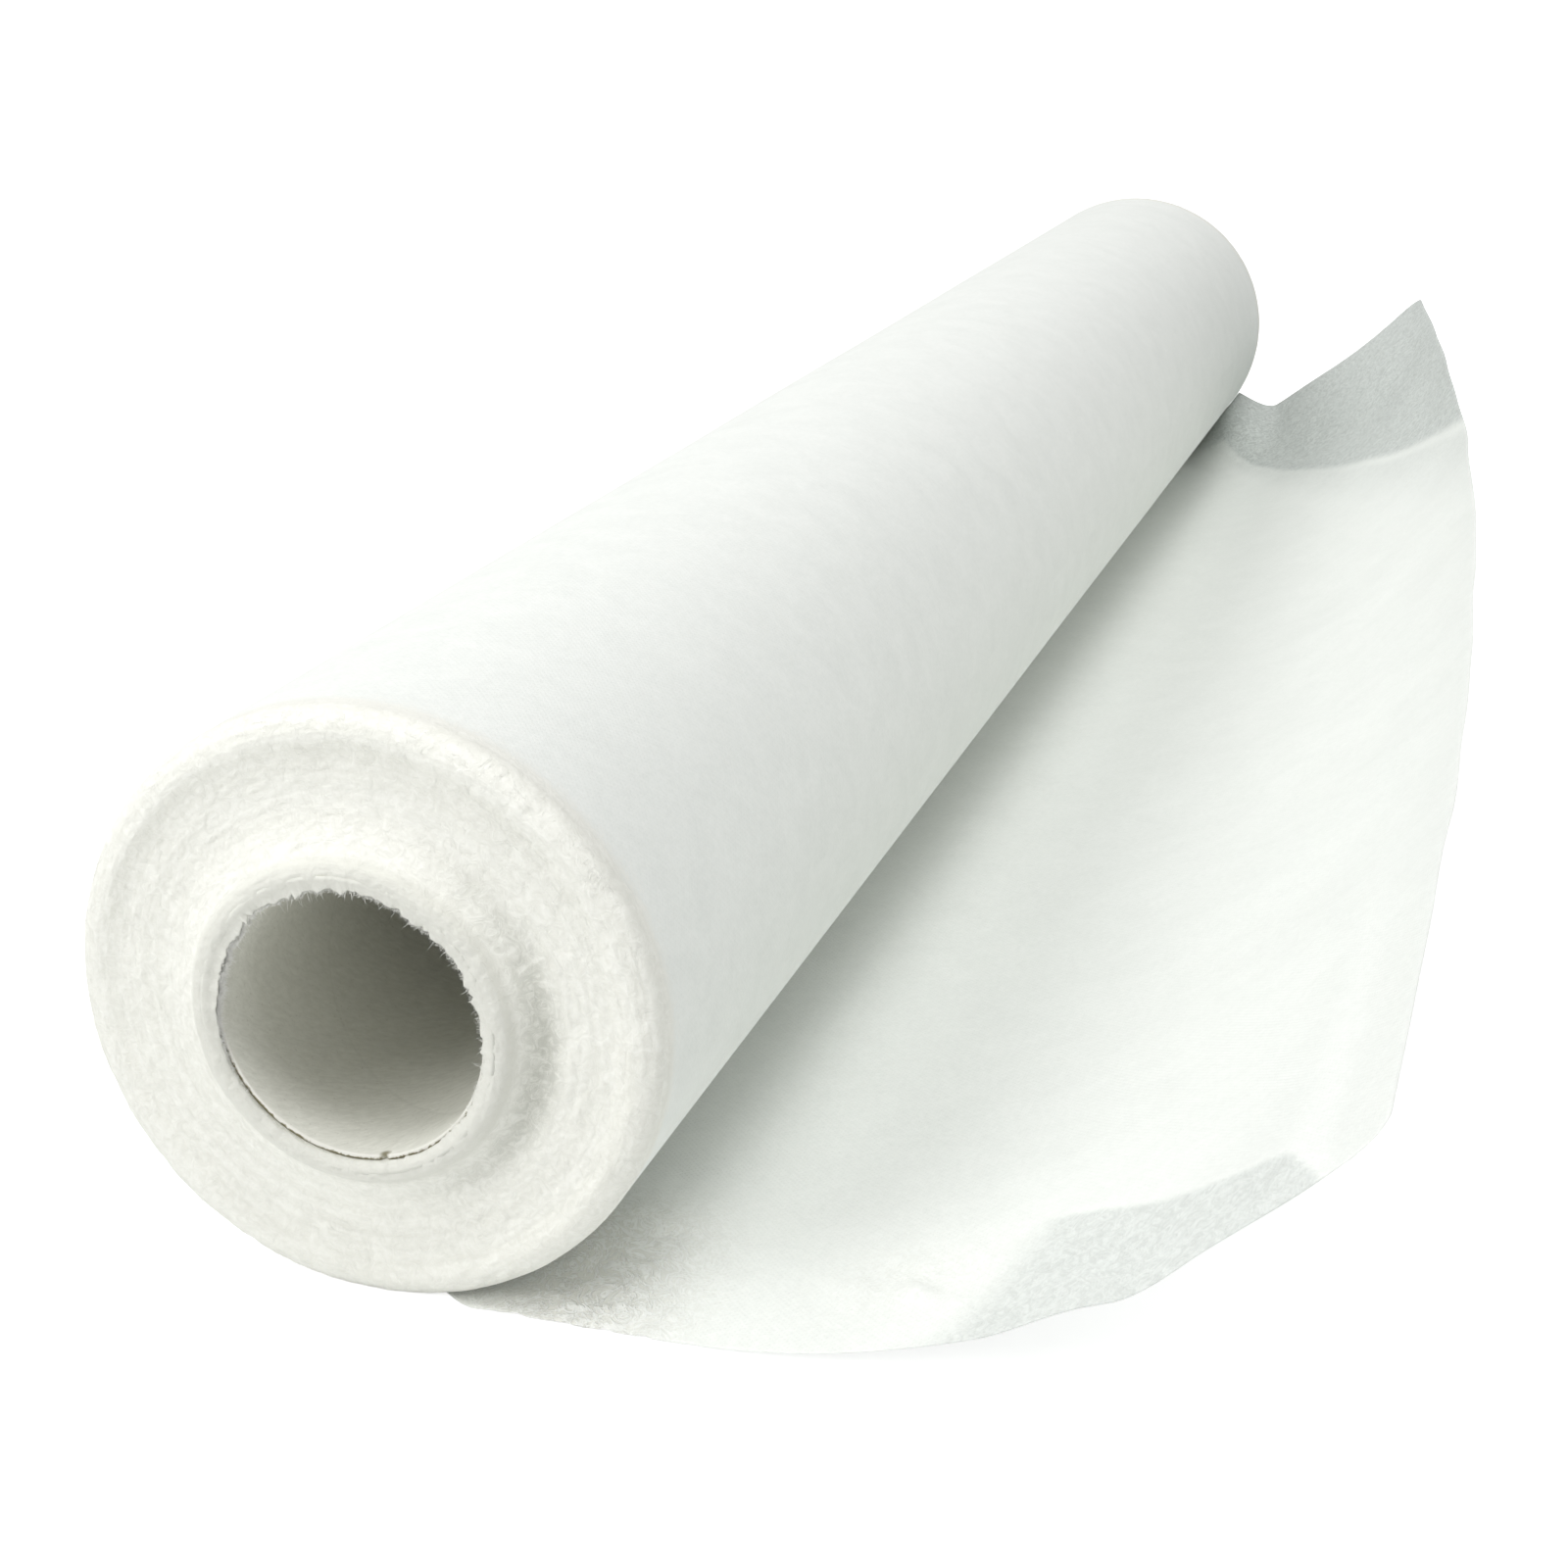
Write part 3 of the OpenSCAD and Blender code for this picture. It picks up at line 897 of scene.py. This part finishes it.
def board_material():
    """Grey chipboard, spirally wound: paper fibres and specks, the faint line
    where one turn of the inner ply meets the next, and at the near mouth the
    ragged cut, pale inside and with a brown painted shadow outside, where the
    gap to the lip lies in shade, and with a brown nick."""
    material, tree = start_material("grey_board")
    place = cloth_plane(tree)
    pulp = noise(tree, stretched(tree, place, (1, 0.35, 1), 0.7), 700, 3.0, 0.65, 0.5)
    flecks = ramp(tree, noise(tree, place, 1100, 3.0, 0.7), 0.62, 0.72)
    split = put(tree, "ShaderNodeSeparateXYZ", {0: place})
    around_bore = calc(tree, "DIVIDE", split.outputs[0], 2 * math.pi * BORE_R)
    along = calc(tree, "DIVIDE", split.outputs[1], PLY_PITCH)
    turn = calc(tree, "FRACT", calc(tree, "ADD", along, around_bore))
    seam = ramp(tree, calc(tree, "ABSOLUTE", centred(tree, turn)), 0.0, 0.008, 1.0, 0.0)
    colour = blend(tree, ramp(tree, pulp, 0.3, 0.7), BOARD_DEEP, BOARD_BRIGHT)
    colour = blend(tree, calc(tree, "MULTIPLY", flecks, 0.5), colour, FLECK_TONE)
    colour = blend(tree, calc(tree, "MULTIPLY", seam, 0.08), colour, SEAM_TONE)

    body = put(tree, "ShaderNodeTexCoord").outputs["Object"]
    x, y, z = put(tree, "ShaderNodeSeparateXYZ", {0: body}).outputs[:3]
    torn = noise(tree, body, 500, 3.0, 0.6)
    deep = calc(tree, "ADD", calc(tree, "SUBTRACT", y, CORE_NEAR),
                calc(tree, "MULTIPLY", torn, 0.0006))
    radius = calc(tree, "SQRT", calc(tree, "ADD", calc(tree, "MULTIPLY", x, x),
                                     calc(tree, "MULTIPLY", z, z)))
    outward = calc(tree, "DIVIDE", calc(tree, "SUBTRACT", radius, BORE_R), CORE_WALL)
    outward = calc(tree, "ADD", outward, calc(tree, "MULTIPLY", centred(tree, torn), 1.6))
    # Painted shadow: the outer part of the cut end is brown where the gap to the lip lies in shade
    cut = blend(tree, ramp(tree, outward, 0.45, 0.75), CUT_PALE, CUT_SHADOW_BROWN)
    colour = blend(tree, ramp(tree, deep, *CUT_REACH, 1.0, 0.0), colour, cut)
    # Brown round the nick, in the brown of the painted shadow at the cut
    nick = put(tree, "ShaderNodeVectorMath", {0: body, 1: NICK_AT}, operation="DISTANCE")
    nick_brown = ramp(tree, nick.outputs["Value"], *NICK_SPREAD, 0.9, 0.0)
    colour = blend(tree, nick_brown, colour, CUT_SHADOW_BROWN)
    height = calc(tree, "SUBTRACT", calc(tree, "MULTIPLY", pulp, 0.4),
                  calc(tree, "MULTIPLY", seam, 0.3))
    finish_material(tree, colour, height, BOARD_BUMP, 0.85)
    return material


FLOOR_TONE = (0.86, 0.87, 0.865, 1)


def floor_material():
    """Plain white floor. To the camera it also glows a little, so that it is
    white where no shadow falls and still keeps the roll's shadow."""
    material, tree = start_material("white_floor")
    plain = put(tree, "ShaderNodeBsdfDiffuse", {"Color": FLOOR_TONE})
    body = put(tree, "ShaderNodeTexCoord").outputs["Object"]
    away = put(tree, "ShaderNodeVectorMath", {0: body}, operation="LENGTH").outputs["Value"]
    strength = ramp(tree, away, *FLOOR_FADE, *FLOOR_GLOW)
    glow = put(tree, "ShaderNodeEmission", {"Color": (1, 1, 1, 1), "Strength": strength})
    lit = put(tree, "ShaderNodeAddShader", {0: plain.outputs[0], 1: glow.outputs[0]})
    both = put(tree, "ShaderNodeMixShader", {
        0: seen_plainly(tree), 1: plain.outputs[0], 2: lit.outputs[0]})
    put(tree, "ShaderNodeOutputMaterial", {"Surface": both.outputs[0]})
    return material


# Stage: floor, light and camera

# Glow of the floor to the camera, near the roll and past the end of the fade
FLOOR_GLOW = (0.68, 0.80)
FLOOR_FADE = (0.9, 3.0)
FLOOR_HALF = 40.0
FLOOR_UNDER = 0.0002
SKY_STRENGTH = 0.35
LAMP_SIZE = 2.4
# Each lamp's name, place and power: the key from the front left, the one
# overhead, a weaker one on the upper left, and a low one straight in front
LAMP_TARGET = (0, -0.1, 0)
LAMPS = (
    ("key", (-2.33, -3.59, 2.59), 80.0),
    ("overhead", (0.77, -1.03, 4.83), 114.0),
    ("side", (-2.74, -1.25, 3.99), 36.0),
    ("low", (0.76, -4.84, 1.02), 9.0),
)


def floor():
    """A wide plane just under the cloth, so that its edge is past the horizon."""
    z = TABLE_Z - FLOOR_UNDER
    corners = np.array([[-1, -1], [1, -1], [1, 1], [-1, 1]]) * FLOOR_HALF
    mesh = bpy.data.meshes.new("floor")
    mesh.from_pydata([(x, y, z) for x, y in corners], [], [(0, 1, 2, 3)])
    piece = bpy.data.objects.new("floor", mesh)
    bpy.context.scene.collection.objects.link(piece)
    mesh.materials.append(floor_material())


def look(piece, at, target):
    """Puts a lamp at a point, turned towards the target."""
    way = np.array(target) - np.array(at)
    piece.location = at
    piece.rotation_euler = (math.acos(-way[2] / np.linalg.norm(way)), 0,
                            math.atan2(way[1], way[0]) - math.pi / 2)


def lamps():
    """Large soft square lamps, all turned towards the roll."""
    for name, at, power in LAMPS:
        lamp = bpy.data.lights.new(name, "AREA")
        lamp.size = LAMP_SIZE
        lamp.energy = power
        piece = bpy.data.objects.new(name, lamp)
        bpy.context.scene.collection.objects.link(piece)
        look(piece, at, LAMP_TARGET)


def sky():
    """Even white light from all round, and plain white to the camera."""
    world = bpy.data.worlds.new("sky")
    bpy.context.scene.world = world
    world.use_nodes = True
    tree = world.node_tree
    tree.nodes.clear()
    strength = ramp(tree, seen_plainly(tree), 0, 1, SKY_STRENGTH, 1.0)
    back = put(tree, "ShaderNodeBackground", {"Color": (1, 1, 1, 1), "Strength": strength})
    put(tree, "ShaderNodeOutputWorld", {"Surface": back.outputs[0]})


def camera():
    """The photograph's camera, with no shift and no depth of field."""
    lens = bpy.data.cameras.new("camera")
    lens.sensor_width = 36
    lens.lens = CAMERA_LENS
    lens.clip_end = 200
    piece = bpy.data.objects.new("camera", lens)
    piece.location = CAMERA_AT
    piece.rotation_euler = (math.pi / 2 - CAMERA_DOWN, 0, CAMERA_YAW)
    bpy.context.scene.collection.objects.link(piece)
    bpy.context.scene.camera = piece


camera()
spunbond = spunbond_group()
turns = wound_turns()
sheet = free_end()
lip = frayed_lip()
fluff = [lip_fibres(), rim_fibres()]
core = core_board()

cut_edges = turns_material(spunbond)
turns.data.materials.append(cut_edges)
lip.data.materials.append(cut_edges)
sheet.data.materials.append(sheet_material(spunbond))
strand = fibre_material()
for piece in fluff:
    piece.data.materials.append(strand)
core.data.materials.append(board_material())
for piece in (turns, sheet, lip, *fluff):
    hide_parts("nonwoven_web")
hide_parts("core_tube")

floor()
lamps()
sky()
bpy.context.scene.view_settings.view_transform = "Standard"
